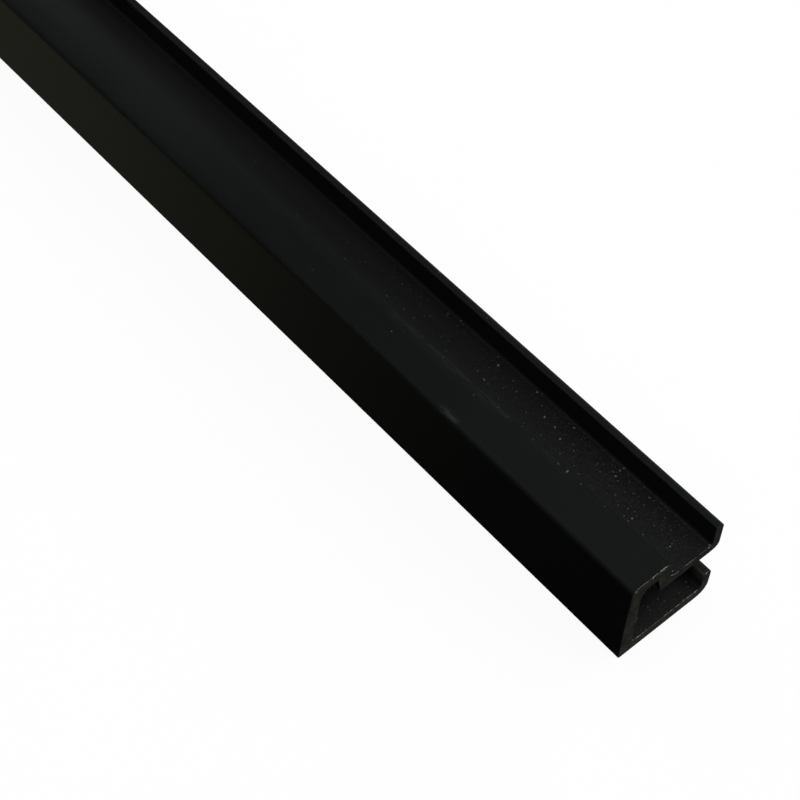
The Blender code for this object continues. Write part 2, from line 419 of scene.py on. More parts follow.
# Crumbs of saw dust that the photograph shows: picture place across and down, and width
# in pixels. The first list lies on the top, the second on the channel's floor.
CRUMBS = [
    (574, 428, 3), (569, 424, 2), (572, 423, 1), (587, 434, 1), (589, 437, 1), (560, 439, 3),
    (572.5, 444.5, 2), (574, 451, 2), (560, 454, 2), (563, 453, 1), (560, 463.5, 1.5), (568, 471, 3),
    (574, 466, 1.5), (578.5, 474, 2), (582, 483.5, 2), (591, 486, 1), (597.5, 464, 2), (603, 464, 1.5),
    (600, 472, 1.5),
    (609, 486, 1.5), (613, 461, 2), (612, 465, 1.5), (615, 467, 1.5), (613, 472, 2), (615.5, 476.5, 3),
    (618, 481, 2), (620, 471, 3), (624, 468.5, 3), (628, 475, 1.5), (629.5, 482, 2), (607, 493, 1.5),
    (615, 495, 2), (625, 492, 1.5), (633.5, 493.5, 2), (638.5, 497, 1.5), (644, 487, 1.5), (649.5, 498, 3),
    (654, 501, 2), (607, 505, 1.5), (618, 505, 1.5), (628, 509, 2), (632, 500, 1), (635, 512, 2),
    (624, 516, 2.5), (628, 521, 2.5), (632, 518.5, 3), (644, 505, 1.5), (661.5, 504, 2), (665.5, 507, 2),
    (668, 511, 1.5), (656, 512, 1), (665, 518, 2.5), (654, 526, 2), (662, 525, 1.5), (662, 530, 1.5),
    (671, 530, 2), (679, 525, 1.5), (643, 535, 2.5), (684, 537, 1.5), (670, 546.8, 3), (672, 543.8, 2),
    (673.5, 541, 1.5), (667.5, 548, 1.5), (709.5, 545.5, 3), (446, 351, 1.5), (443, 358, 1.5), (498, 357, 2),
    (498, 365.5, 3), (478, 371, 2), (484, 380, 3), (488, 384, 1.5), (496, 378, 1), (513, 381, 2),
    (505, 387, 1), (516.5, 391.5, 2), (530, 382, 1.5), (537, 392.5, 3), (542, 394, 2), (542, 406, 2),
    (500.5, 406, 2),
    (526, 412.5, 2), (511, 414, 1.5), (544.5, 417.5, 3), (555, 427.5, 3), (541, 435, 1.5), (534, 439, 1.5),
    (559, 462.5, 2), (473.5, 395, 2), (391.5, 331.5, 2), (403, 332, 1), (439, 272, 1.5), (487, 318, 1.5),
    (430, 316, 1.5), (448, 314, 2), (461, 321, 2), (458, 326, 1.5), (441, 337, 1.5), (404, 309, 1.5),
    (387, 296, 1.5), (420, 305, 1), (410, 290, 1), (393, 277, 1), (345, 259, 1.5), (312, 270, 1.5),
    (360, 262, 1), (372, 268, 1), (402, 284, 1.5), (414, 318, 1.5),
]
CHANNEL_CRUMBS = [
    (686, 582, 2), (676, 592, 1.5), (679, 593, 1.5), (657.5, 599.5, 2), (664, 601.5, 2), (647.5, 607, 2),
    (650, 610, 2), (661, 611, 1.5), (666, 612, 1.5), (643, 606, 1.5), (688, 587, 1.5), (653, 604, 1),
    (672, 599, 1), (645, 629, 1.5), (641, 630, 1.5),
]
# How pale a crumb of each seen width is, and how far that varies: the widest shone most
CRUMB_PALE = {1: 0.14, 1.5: 0.115, 2: 0.105, 2.5: 0.085, 3: 0.27}
CRUMB_PALE_VARIES = (0.7, 1.3)
# A crumb's shape: its flatness, how high it lies, its long side and its uneven corners
CRUMB_FLATNESS = 0.55
CRUMB_LIFT = 0.25
CRUMB_LONG_SIDE = (0.9, 1.35)
CRUMB_UNEVEN = (0.65, 1.2)

# The finer dust strewn between them: how many crumbs, their sizes and how pale, how far
# along they lie, and between which sides. A power above 1 crowds them towards the low
# side, and one below 1 towards the high side.
FINE_SIZES = (0.035 * MM, 0.095 * MM)
FINE_PALE = 0.3
FINE_START = 0.4 * MM
FINE_CRUMBS = 430
FINE_REACH = 80 * MM
FINE_BUNCHING = (1.8, 4.5)
FINE_ACROSS = (RECESS_LEFT_Y, LIP_INSIDE_Y - 0.1 * MM)
FINE_ACROSS_POWER = 0.5
CHANNEL_FINE_CRUMBS = 60
CHANNEL_REACH = 9 * MM
CHANNEL_REACH_POWER = 1.5
CHANNEL_ACROSS = (WALL_INSIDE_Y + 0.8 * MM, LIP_INSIDE_Y - 0.7 * MM)


def add_node(tree, kind, inputs=None, **settings):
    """Adds a shader node with its settings, and returns its outputs. Each input is a
    socket to link or a fixed value."""
    node = tree.nodes.new(kind)
    for name, value in settings.items():
        setattr(node, name, value)
    for name, value in (inputs or {}).items():
        if isinstance(value, bpy.types.NodeSocket):
            tree.links.new(value, node.inputs[name])
        else:
            node.inputs[name].default_value = value
    return node.outputs


def combined(tree, operation, values):
    """The result of one operation after another over several sockets or numbers."""
    result = values[0]
    for value in values[1:]:
        result = add_node(tree, "ShaderNodeMath", {0: result, 1: value}, operation=operation)[0]
    return result


def product(tree, *factors):
    """The product of several sockets or numbers."""
    return combined(tree, "MULTIPLY", factors)


def total(tree, *terms):
    """The sum of several sockets or numbers."""
    return combined(tree, "ADD", terms)


def axes_of(tree, vector):
    """The x, y and z sockets of a vector."""
    return tuple(add_node(tree, "ShaderNodeSeparateXYZ", {"Vector": vector}))


def own_place(tree):
    """The place in the object's own coordinates."""
    return add_node(tree, "ShaderNodeTexCoord")["Object"]


def zone_value(tree, name):
    """How strongly a zone of the mesh holds, or another value that its points carry."""
    return add_node(tree, "ShaderNodeAttribute", attribute_type="GEOMETRY", attribute_name=name)["Fac"]


def ramp(tree, value, span, to=RISING):
    """A smooth passage from one number to another while a value crosses a span."""
    inputs = {"Value": value, "From Min": span[0], "From Max": span[1], "To Min": to[0], "To Max": to[1]}
    return add_node(tree, "ShaderNodeMapRange", inputs, interpolation_type="SMOOTHSTEP")["Result"]


def behind_cut(tree, x, span, to):
    """A smooth passage between two numbers, from one distance behind the cut to another."""
    return ramp(tree, x, (NEAR_X - span[1], NEAR_X - span[0]), (to[1], to[0]))


def noise_socket(tree, place, scale, detail, roughness):
    """Noise at a place, drawn out along an axis where each axis has its own scale."""
    if isinstance(scale, tuple):
        place = add_node(tree, "ShaderNodeMapping", {"Vector": place, "Scale": scale})[0]
        scale = 1.0
    inputs = {"Vector": place, "Scale": scale, "Detail": detail, "Roughness": roughness}
    return add_node(tree, "ShaderNodeTexNoise", inputs)["Fac"]


def mix_colors(tree, share, first, second):
    """A blend of two colours, each a socket or a fixed value."""
    # a mix node takes its share in input 0 and its two colours in inputs 6 and 7
    return add_node(tree, "ShaderNodeMix", {0: share, 6: first, 7: second}, data_type="RGBA")[2]


def scale_color(tree, color, share):
    """A colour made darker or lighter."""
    return add_node(tree, "ShaderNodeVectorMath", {0: color, "Scale": share}, operation="SCALE")[0]


def bump_normal(tree, height, strength, distance):
    """The normal of a face that a height makes uneven."""
    return add_node(tree, "ShaderNodeBump", {"Height": height, "Strength": strength, "Distance": distance})[0]


def new_material(name):
    """A node material, and its empty tree to fill."""
    material = bpy.data.materials.new(name)
    material.use_nodes = True
    material.node_tree.nodes.clear()
    return material, material.node_tree


def plastic_surface(tree, color, specular, roughness, **more):
    """Ends a material's tree with plastic of a colour and a finish."""
    inputs = {"Base Color": color, "Specular IOR Level": specular, "Roughness": roughness, **more}
    surface = add_node(tree, "ShaderNodeBsdfPrincipled", inputs)
    add_node(tree, "ShaderNodeOutputMaterial", {"Surface": surface[0]})


def sight_line(across, down):
    """The way from the camera through a place in the photograph, in its pixels."""
    half = PICTURE_SIDE / 2
    return (CAMERA_AXES @ Vector((across - half, half - down, -FOCAL_PIXELS))).normalized()


def meet_plane(across, down, point, normal):
    """Where the line through a place in the photograph meets a plane."""
    way = sight_line(across, down)
    start = Vector(CAMERA_PLACE)
    return start + way * ((Vector(point) - start).dot(normal) / way.dot(normal))


def meet_level(across, down, level):
    """The place at a height that is seen at a place in the photograph."""
    return meet_plane(across, down, (0.0, 0.0, level), UP)


def meet_cut(across, down):
    """The place in the near cut's plane that is seen at a place in the photograph."""
    return meet_plane(across, down, (NEAR_X, 0.0, 0.0), ALONG)


def pixel_size(point):
    """What one pixel of the photograph measures at a point."""
    depth = (CAMERA_AXES.transposed() @ (Vector(point) - Vector(CAMERA_PLACE))).z
    return -depth / FOCAL_PIXELS


def noise_at(*place):
    """Smooth noise from -1 to 1 at three coordinates."""
    return noise.noise(Vector(place))


def following(ring):
    """For each entry of a closed ring the next one."""
    return ring[1:] + ring[:1]


def between(start, end, share):
    """The place at a share of the way from one place to another."""
    return [low + (high - low) * share for low, high in zip(start, end)]


def left_of(start, end):
    """The way to the left of the line from one place in the section to another."""
    run = math.dist(start, end)
    return -(end[1] - start[1]) / run, (end[0] - start[0]) / run


def section_outline():
    """The section's outline at the near end, as (y, z) points anticlockwise, read from
    the node's own side faces."""
    mesh = frame["nodes"][NODE].data
    follows = {}
    for face in mesh.polygons:
        if abs(face.normal.x) > END_FACE_TURN:
            continue
        corners = [mesh.vertices[index].co for index in face.vertices]
        at_end = [corner for corner in corners if abs(corner.x - NEAR_X) < END_SLACK]
        if len(at_end) < 2:
            continue
        first, second = [(round(c.y, PLACE_DIGITS), round(c.z, PLACE_DIGITS)) for c in at_end]
        run_y = second[0] - first[0]
        run_z = second[1] - first[1]
        # the solid lies on the left of the outline's way, so its normal points right
        if run_z * face.normal.y - run_y * face.normal.z < 0:
            first, second = second, first
        follows[first] = second
    start = min(follows)
    outline = [start]
    while follows[outline[-1]] != start:
        outline.append(follows[outline[-1]])
    return outline


def fine_ring():
    """The outline with close points, and with faint die lines that run the whole length."""
    outline = section_outline()
    ring = []
    travelled = 0.0
    for corner, after in zip(outline, following(outline)):
        reach = math.dist(corner, after)
        inward = left_of(corner, after)
        pieces = max(1, math.ceil(reach / RING_SPACING))
        for piece in range(pieces):
            share = piece / pieces
            sunk = 0.0
            if piece:
                at = (travelled + reach * share) / DIE_LINE_PITCH
                sunk = DIE_LINE_DEPTH * max(0.0, noise_at(at, DIE_LINE_LAYER, SEED))
            y, z = between(corner, after, share)
            ring.append((y + inward[0] * sunk, z + inward[1] * sunk))
        travelled += reach
    return ring


def round_sizes(ring):
    """The size of the worn round at each point of a cut's arris, evened out along it."""
    sizes = []
    for y, z in ring:
        outer = y < OUTER_WALL_Y or y > OUTER_LIP_Y or z < OUTER_BASE_Z
        uneven = 1.0 + CUT_ROUND_UNEVEN * noise_at(y / CUT_ROUND_PITCH, z / CUT_ROUND_PITCH, SEED)
        sizes.append((CUT_ROUND_OUTER if outer else CUT_ROUND_INNER) * uneven)
    count = len(sizes)
    shifts = range(-CUT_ROUND_SPREAD, CUT_ROUND_SPREAD + 1)
    return [sum(sizes[(index + shift) % count] for shift in shifts) / len(shifts) for index in range(count)]


def inset_ring(ring, sizes):
    """The outline moved into the solid by a size of its own at each point."""
    moved = []
    for before, (y, z), after, size in zip(ring[-1:] + ring[:-1], ring, following(ring), sizes):
        inward = left_of(before, after)
        moved.append((y + inward[0] * size, z + inward[1] * size))
    return moved


def strip(form, first, second, material_index=SKIN):
    """Faces between two closed rings of points."""
    for corners in zip(first, second, following(second), following(first)):
        form.faces.new(corners).material_index = material_index


def saw_depth(y, z, end):
    """How deep the saw's marks and torn grain lie below a cut face."""
    reach = math.dist((y, z), SAW_CENTRE)
    marks = noise_at(reach / SAW_MARK_PITCH, end, SEED)
    grain = noise_at(y / SAW_GRAIN_PITCH, z / SAW_GRAIN_PITCH, end)
    return SAW_MARK_DEPTH * max(0.0, 1.0 + marks + grain) / 2


def face_points(ring):
    """Points spread unevenly over a cut face and round it, clear of its rim."""
    nearest = kdtree.KDTree(len(ring))
    for index, (y, z) in enumerate(ring):
        nearest.insert((y, z, 0.0), index)
    nearest.balance()
    points = []
    for column in range(math.ceil((LIP_Y - WALL_Y) / CUT_SPACING)):
        for row in range(math.ceil(TOP_Z / CUT_SPACING)):
            aside = CUT_UNEVEN * noise_at(column, row, CUT_NOISE_LAYERS[0])
            up = CUT_UNEVEN * noise_at(row, column, CUT_NOISE_LAYERS[1])
            y = WALL_Y + (column + 0.5 + aside) * CUT_SPACING
            z = (row + 0.5 + up) * CUT_SPACING
            if nearest.find((y, z, 0.0))[2] > CUT_MARGIN:
                points.append((y, z))
    return points


def saw_face(form, rim, ring, x, inward):
    """A cut face whose inner points carry the saw's marks, on a rim that stays true."""
    flat = [Vector(point) for point in ring + face_points(ring)]
    loop = [(index, (index + 1) % len(ring)) for index in range(len(ring))]
    points, _, faces, sources, _, _ = geometry.delaunay_2d_cdt(flat, loop, [], KEEP_INSIDE, SAME_POINT)
    corners = {}
    for index in sorted({index for face in faces for index in face}):
        y, z = points[index]
        source = sources[index]
        if source and source[0] < len(rim):
            corners[index] = rim[source[0]]
        else:
            corners[index] = form.verts.new((x + inward * saw_depth(y, z, x), y, z))
    for face in faces:
        form.faces.new([corners[index] for index in face]).material_index = SAWN


def cut_end(form, ring, sizes, x, inward):
    """One cut end: its worn round and its sawn face. Returns the ring where the sides begin."""
    rims = []
    for facet in range(CUT_ROUND_FACETS + 1):
        angle = math.pi / 2 * facet / CUT_ROUND_FACETS
        level = inset_ring(ring, [size * (1.0 - math.cos(angle)) for size in sizes])
        back = [size * (1.0 - math.sin(angle)) for size in sizes]
        rims.append([form.verts.new((x + inward * shift, y, z)) for (y, z), shift in zip(level, back)])
    strip(form, rims[0], rims[1])
    for rim, next_rim in zip(rims[1:], rims[2:]):
        strip(form, rim, next_rim, SAWN)
    saw_face(form, rims[-1], level, x, inward)
    return rims[0]


def zone_share(place, middle, reach):
    """1 in the middle of a zone, and falling smoothly to 0 at its reach."""
    share = max(0.0, 1.0 - math.dist(place, middle) / reach)
    return share * share * (3 - 2 * share)


def zones_at(y, z):
    """How strongly each zone holds at a point of the section: the edges and faces that
    differ from the plain skin. "recess" is how far across the recess the point lies."""
    place = (y, z)
    outside = z > RECESS_Z - FACE_SLACK
    on_wall = y < WALL_Y + WALL_SLACK
    on_land = outside and z > TOP_Z - LAND_SLACK and y < LAND_EDGE_Y
    in_recess = outside and LAND_EDGE_Y < y < LIP_INSIDE_Y and z < TOP_Z - STEP_DEPTH / 2
    on_lip_top = z > UPPER_LIP_Z - LIP_TOP_SLACK and y > LIP_INSIDE_Y - EDGE_SLACK
    on_lip_inside = abs(y - LIP_INSIDE_Y) < FACE_SLACK and BASE_THICKNESS + FACE_SLACK < z < LOWER_LIP_HEIGHT
    in_channel = WALL_INSIDE_Y < y < LIP_INSIDE_Y + EDGE_SLACK and z > BASE_THICKNESS - EDGE_SLACK
    across = (y - RECESS_LEFT_Y) / (LIP_INSIDE_Y - RECESS_LEFT_Y)
    return {
        "step_edge": outside * zone_share(place, *STEP_EDGE_ZONE),
        "step_arc": outside * zone_share(place, *STEP_ARC_ZONE),
        "land_edge": outside * zone_share(place, *LAND_EDGE_ZONE),
        "land": float(on_land),
        "recess": min(1.0, max(0.0, across)) if in_recess else OFF_RECESS,
        "corner_arc": on_wall * zone_share((z,), *CORNER_ARC_ZONE),
        "corner_band": on_wall * zone_share((z,), *CORNER_BAND_ZONE),
        "top": float(on_land or in_recess),
        "lip_top": float(on_lip_top),
        "lip_inside": float(on_lip_inside),
        "heel_inside": in_channel * zone_share(place, *HEEL_ZONE),
    }


def mark_zones(mesh):
    """Writes the zones into the mesh, where the skin's material reads them."""
    zones = [zones_at(vertex.co.y, vertex.co.z) for vertex in mesh.vertices]
    for name in zones[0]:
        values = [zone[name] for zone in zones]
        mesh.attributes.new(name, "FLOAT", "POINT").data.foreach_set("value", values)


def along_share(tree, x, ends):
    """1 between two picture places on the land's or step's edge, soft at both ends."""
    start, end = sorted(meet_level(*place, TOP_Z).x for place in ends)
    rise = ramp(tree, x, (start - SCUFF_SOFTNESS, start + SCUFF_SOFTNESS))
    fall = ramp(tree, x, (end - SCUFF_SOFTNESS, end + SCUFF_SOFTNESS), FALLING)
    return product(tree, rise, fall)


def skin_readings(tree):
    """What the skin's material reads at a point: its place, how far its face looks up, how
    far across the recess it lies, how much of the channel's bend it is, and the noise."""
    place = own_place(tree)
    x, y, z = axes_of(tree, place)
    normal = add_node(tree, "ShaderNodeNewGeometry")["Normal"]
    return SimpleNamespace(
        x=x, y=y, z=z, facing=axes_of(tree, normal)[2],
        across=zone_value(tree, "recess"), heel=zone_value(tree, "heel_inside"),
        streaks=noise_socket(tree, place, *STREAK_NOISE), blotches=noise_socket(tree, place, *BLOTCH_NOISE),
        grain=noise_socket(tree, place, *GRAIN_NOISE), wear=noise_socket(tree, place, *WEAR_NOISE))


def mottled_and_painted_shade(tree, at):
    """Lighter and darker streaks and blotches, and the painted highlight and shade across the recess."""
    mottled = total(tree, ramp(tree, at.streaks, *STREAK_SHADE), ramp(tree, at.blotches, *BLOTCH_SHADE))
    # painted shade by the upper lip here, and a painted highlight by the step in the line below
    lip_side = product(tree, behind_cut(tree, at.x, *LIP_SIDE_PAINTED_SHADE), ramp(tree, at.across, LIP_SIDE_ACROSS))
    return product(tree, mottled, ramp(tree, at.across, *STEP_SIDE_PAINTED_LIGHT), total(tree, lip_side, 1.0))


def top_painted_shading(tree, at):
    """The painted light and shade on the top that change slowly along the trim."""
    top = zone_value(tree, "top")
    # painted shade on the land in a middle stretch, a painted highlight on the top's middle far away, and
    # painted shade on the top nearby
    land_shade = product(tree, zone_value(tree, "land"), LAND_PAINTED_SHADE, behind_cut(tree, at.x, LAND_SHADE_START, RISING),
                   behind_cut(tree, at.x, LAND_SHADE_END, FALLING), ramp(tree, at.y, LAND_SHADE_ACROSS, FALLING))
    middle = total(tree, ramp(tree, at.y, *FAR_LAND_PAINTED_LIGHT), ramp(tree, at.y, *FAR_RECESS_PAINTED_SHADE))
    far = product(tree, top, middle, behind_cut(tree, at.x, FAR_TOP, RISING))
    faded = product(tree, top, ramp(tree, at.across, *NEAR_TOP_FADE))
    near = product(tree, total(tree, faded, zone_value(tree, "lip_top")), NEAR_TOP_PAINTED_SHADE,
                   behind_cut(tree, at.x, NEAR_TOP, FALLING))
    return land_shade, far, near


def corner_painted_shading(tree, at):
    """The painted light and shade that change slowly along the closed wall's top edge and the land's outer
    edge.
    """
    near = behind_cut(tree, at.x, NEAR_CORNER, FALLING)
    far = behind_cut(tree, at.x, FAR_CORNER, RISING)
    # painted shade on the land's outer edge and on the wall's band far away, and a painted highlight on the
    # wall's arc nearby
    return (product(tree, zone_value(tree, "land_edge"), LAND_EDGE_PAINTED_SHADE, far),
            product(tree, zone_value(tree, "corner_arc"), CORNER_ARC_PAINTED_LIGHT, near),
            product(tree, zone_value(tree, "corner_band"), CORNER_BAND_PAINTED_SHADE, far))


def channel_floor(tree, at):
    """1 on the channel's floor, and 0 above it."""
    low = ramp(tree, at.z, CHANNEL_FLOOR_Z, FALLING)
    return product(tree, low, ramp(tree, at.facing, CHANNEL_FLOOR_FACING))


def channel_painted_shade(tree, at):
    """The factor that paints shade on the channel's floor a little way in."""
    # painted shade on the channel's floor a little way in
    stretch = product(tree, behind_cut(tree, at.x, CHANNEL_DARK_END, FALLING),
                      behind_cut(tree, at.x, CHANNEL_DARK_START, RISING))
    return total(tree, product(tree, channel_floor(tree, at), stretch, CHANNEL_PAINTED_SHADE), 1.0)


def dust_and_lip_reflection(tree, at, color):
    """The skin's colour under its films of saw dust, and with a painted reflection on the lower lip's inner
    face.
    """
    top_film = product(tree, behind_cut(tree, at.x, FILM_ALONG, FALLING), ramp(tree, at.grain, FILM_GRAIN),
                       ramp(tree, at.facing, FILM_FACING), ramp(tree, at.z, FILM_Z, FALLING), FILM_SHARE)
    off_heel = combined(tree, "SUBTRACT", (1.0, at.heel))
    floor_film = product(tree, channel_floor(tree, at), channel_painted_shade(tree, at), CHANNEL_FILM_SHARE, off_heel,
                         behind_cut(tree, at.x, CHANNEL_FILM_ALONG, FALLING))
    # a pale painted reflection on the lower lip's inner face near the cut
    lip_reflection = product(tree, zone_value(tree, "lip_inside"), behind_cut(tree, at.x, LIP_REFLECTION_ALONG, FALLING),
                       ramp(tree, at.z, *LIP_REFLECTION_SHARE))
    for film, film_color in ((top_film, FILM_COLOR), (floor_film, FILM_COLOR), (lip_reflection, LIP_PAINTED_REFLECTION_COLOR)):
        color = mix_colors(tree, film, color, film_color)
    return color


def scuffed(tree, at, color):
    """The skin's colour with the step's edge pale in stretches of painted highlight and rubbed wear, and with
    the scuff on the land's outer edge."""
    stretches = [product(tree, along_share(tree, at.x, ends), share) for ends, share in STEP_EDGE_HIGHLIGHTS_AND_WEAR]
    # pale stretches on the step's edge: painted highlight and rubbed wear
    step_highlight_and_wear = product(tree, total(tree, *stretches), ramp(tree, at.wear, STEP_HIGHLIGHT_AND_WEAR_SPAN),
                         zone_value(tree, "step_edge"), STEP_HIGHLIGHT_AND_WEAR_SHARE)
    land_scuff = product(tree, along_share(tree, at.x, LAND_EDGE_SCUFF), ramp(tree, at.wear, LAND_SCUFF_SPAN),
                         zone_value(tree, "land_edge"), LAND_SCUFF_SHARE)
    color = mix_colors(tree, step_highlight_and_wear, color, STEP_HIGHLIGHT_AND_WEAR_COLOR)
    return mix_colors(tree, land_scuff, color, LAND_SCUFF_COLOR)


def skin_material():
    """Satin black plastic with long die streaks, fine grain, a scuffed land edge, a step edge pale with
    painted highlight and rubbed wear, a film of saw dust that thins away from the near end, a painted
    reflection on the lower lip's inside, a painted tint on the land, and painted light and shade across and
    along the trim."""
    material, tree = new_material("black_plastic_skin")
    at = skin_readings(tree)
    shade = total(tree, mottled_and_painted_shade(tree, at), *top_painted_shading(tree, at), *corner_painted_shading(tree, at))
    # painted shade on the channel's bend up to the lower lip
    heel_painted_shade = total(tree, product(tree, at.heel, HEEL_PAINTED_SHADE), 1.0)
    shade = product(tree, shade, channel_painted_shade(tree, at), heel_painted_shade)
    # the land takes the bluer copy of the skin's colour, a painted tint of the light on the top
    clean = mix_colors(tree, zone_value(tree, "land"), SKIN_COLOR, LAND_PAINTED_TINT_COLOR)
    color = scuffed(tree, at, dust_and_lip_reflection(tree, at, scale_color(tree, clean, shade)))
    height = total(tree, product(tree, at.streaks, STREAK_BUMP), product(tree, at.grain, GRAIN_BUMP))
    roughness = total(tree, ramp(tree, at.streaks, *SKIN_ROUGHNESS),
                      product(tree, zone_value(tree, "step_arc"), STEP_ARC_DULLNESS))
    plastic_surface(tree, color, SKIN_SPECULAR, roughness, Normal=bump_normal(tree, height, *SKIN_BUMP))
    return material


def cut_material():
    """Sawn plastic: greyer and duller than the skin, with torn, whitened grain."""
    material, tree = new_material("black_plastic_sawn")
    place = own_place(tree)
    _, y, z = axes_of(tree, place)
    torn = noise_socket(tree, place, *TORN_NOISE)
    broad = noise_socket(tree, place, *BROAD_NOISE)
    whitened = total(tree, ramp(tree, torn, *CUT_TORN_SHARE), ramp(tree, broad, *CUT_BROAD_SHARE))
    above_base = ramp(tree, z, *CUT_BASE_SHARE)
    on_step = product(tree, ramp(tree, z, *CUT_STEP_SHARE), ramp(tree, y, CUT_STEP_START_Y),
                      ramp(tree, y, CUT_STEP_END_Y, FALLING))
    # painted shade along the closed wall's arris towards the top of the face
    at_corner = product(tree, ramp(tree, z, *CUT_CORNER_PAINTED_SHADE), ramp(tree, y, CUT_CORNER_Y, FALLING))
    shade = combined(tree, "SUBTRACT", (1.0, above_base, on_step, at_corner))
    color = scale_color(tree, mix_colors(tree, whitened, *CUT_COLORS), shade)
    plastic_surface(tree, color, *CUT_FINISH, Normal=bump_normal(tree, torn, *CUT_BUMP))
    return material


def dust_material():
    """Saw dust: each crumb has its own shade, from nearly black to pale."""
    material, tree = new_material("saw_dust")
    plastic_surface(tree, mix_colors(tree, zone_value(tree, "pale"), *DUST_COLORS), *DUST_FINISH)
    return material


def burr_material():
    """Burr left by the saw: thin torn plastic, whitened where it is thinnest."""
    material, tree = new_material("saw_burr")
    torn = ramp(tree, noise_socket(tree, own_place(tree), *BURR_NOISE), *BURR_TORN_SHARE)
    share = product(tree, zone_value(tree, "pale"), torn)
    plastic_surface(tree, mix_colors(tree, share, *BURR_COLORS), *BURR_FINISH)
    return material


def finished_mesh(form, name):
    """The mesh of a form, with its faces turned outwards."""
    bmesh.ops.recalc_face_normals(form, faces=form.faces[:])
    mesh = bpy.data.meshes.new(name)
    form.to_mesh(mesh)
    form.free()
    return mesh


def new_object(name, data):
    """An object in the scene, made from its data."""
    made = bpy.data.objects.new(name, data)
    bpy.context.scene.collection.objects.link(made)
    return made


def add_piece(name, mesh, materials):
    """A dressed piece that rides on the trim's body."""
    for material in materials:
        mesh.materials.append(material)
    piece = new_object(name, mesh)
    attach(piece, BODY)
    return piece


def trim_body():
    """The trim with smooth arcs, made from the node's own outline."""
    ring = fine_ring()
    sizes = round_sizes(ring)
    form = bmesh.new()
    near = cut_end(form, ring, sizes, NEAR_X, -1.0)
    far = cut_end(form, ring, sizes, FAR_X, 1.0)
    strip(form, near, far)
    mesh = finished_mesh(form, "trim_body")
    mesh.shade_smooth()
    mesh.set_sharp_from_angle(angle=SHARP_ANGLE)
    mark_zones(mesh)
    body = add_piece("trim_body", mesh, [skin_material(), cut_material()])
    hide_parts(NODE)


def crumb(form, pale_layer, place, up, size, pale, rng):
    """One irregular crumb, partly bedded in what it lies on."""
    lift = Vector(up) * size * CRUMB_FLATNESS * CRUMB_LIFT
    turn = up.to_track_quat("Z", "Y").to_matrix() @ Matrix.Rotation(rng.uniform(0, math.tau), 3, "Z")
    made = bmesh.ops.create_icosphere(form, subdivisions=1, radius=size / 2)
    long_side = rng.uniform(*CRUMB_LONG_SIDE)
    for vertex in made["verts"]:
        shape = Vector((vertex.co.x * long_side, vertex.co.y / long_side, vertex.co.z * CRUMB_FLATNESS))
        vertex.co = Vector(place) + lift + turn @ (shape * rng.uniform(*CRUMB_UNEVEN))
        vertex[pale_layer] = pale


def arris_place(name, across, down):
    """Where along an arris, from 0 at its start to 1, a place in the photograph lies."""
    start, end, _ = ARRISES[name]
    hit = meet_cut(across, down)
    run = (end[0] - start[0], end[1] - start[1])
    share = ((hit.y - start[0]) * run[0] + (hit.z - start[1]) * run[1]) / (run[0] ** 2 + run[1] ** 2)
    return min(1.0, max(0.0, share))


def burr_profile(step, number, rise):
    """A burr's tip, root and foot at a step along it: how far each lies in front of the
    near cut and out of the arris, and its share of the burr's paleness."""
    at = step * BURR_STEP / BURR_PITCH
    ragged = (noise_at(at, number * BURR_RAGGED_ROWS, SEED)
              + BURR_FINE_SHARE * noise_at(at * BURR_FINE, number * BURR_FINE_ROWS, SEED))
    height = rise * max(BURR_LEAST, BURR_USUAL + BURR_RAGGED * ragged)
    lean = BURR_LEAN * noise_at(at * BURR_BROAD, number * BURR_LEAN_ROWS, BURR_LEAN_LAYER)
    uneven = 1.0 + BURR_ROOT_UNEVEN * noise_at(at, BURR_ROOT_LAYER, number)
    root = (BURR_ROOT + BURR_ROOT_SHARE * height) * uneven
    return ((lean + BURR_TIP_FORWARD, height, 1.0),
            (-root, -BURR_ROOT_SINK, BURR_ROOT_PALE),
            (BURR_FOOT_FORWARD, -(BURR_FOOT_SINK + BURR_FOOT_SHARE * height), BURR_FOOT_PALE))


def burr_strip(form, pale_layer, name, shares, rise, pale, number):
    """One ragged lip of torn plastic that stands up along an arris."""
    start, end, out = ARRISES[name]
    run_length = math.dist(start, end) * abs(shares[1] - shares[0])
    steps = max(BURR_FEWEST_STEPS, math.ceil(run_length / BURR_STEP))
    rows = []
    for step in range(steps + 1):
        y, z = between(start, end, shares[0] + (shares[1] - shares[0]) * step / steps)
        taper = min(1.0, step / BURR_TAPER_STEPS, (steps - step) / BURR_TAPER_STEPS)
        row = []
        for forward, outward, share in burr_profile(step, number, rise * MM * taper):
            vertex = form.verts.new((NEAR_X + forward, y + out[0] * outward, z + out[1] * outward))
            vertex[pale_layer] = pale * share
            row.append(vertex)
        rows.append(row)
    for first, second in zip(rows, rows[1:]):
        for corners in zip(first, following(first), following(second), second):
            form.faces.new(corners)
    form.faces.new(rows[0])
    form.faces.new(rows[-1][::-1])


def within_ring(ring, place_y, place_z):
    """Whether a place lies inside a closed ring of (y, z) points."""
    inside = False
    for (y, z), (after_y, after_z) in zip(ring, following(ring)):
        if (z > place_z) != (after_z > place_z):
            if place_y < y + (after_y - y) * (place_z - z) / (after_z - z):
                inside = not inside
    return inside


def burr_knot(form, pale_layer, ring, across, down, width, pale, rng):
    """A knot of burr on the near cut face, at a place in the photograph. One that falls
    beside the face is moved onto its arris."""
    hit = meet_cut(across, down)
    if not within_ring(ring, hit.y, hit.z):
        hit.y, hit.z = min(ring, key=lambda point: math.dist(point, (hit.y, hit.z)))
    crumb(form, pale_layer, hit, ALONG, width * pixel_size(hit), pale, rng)


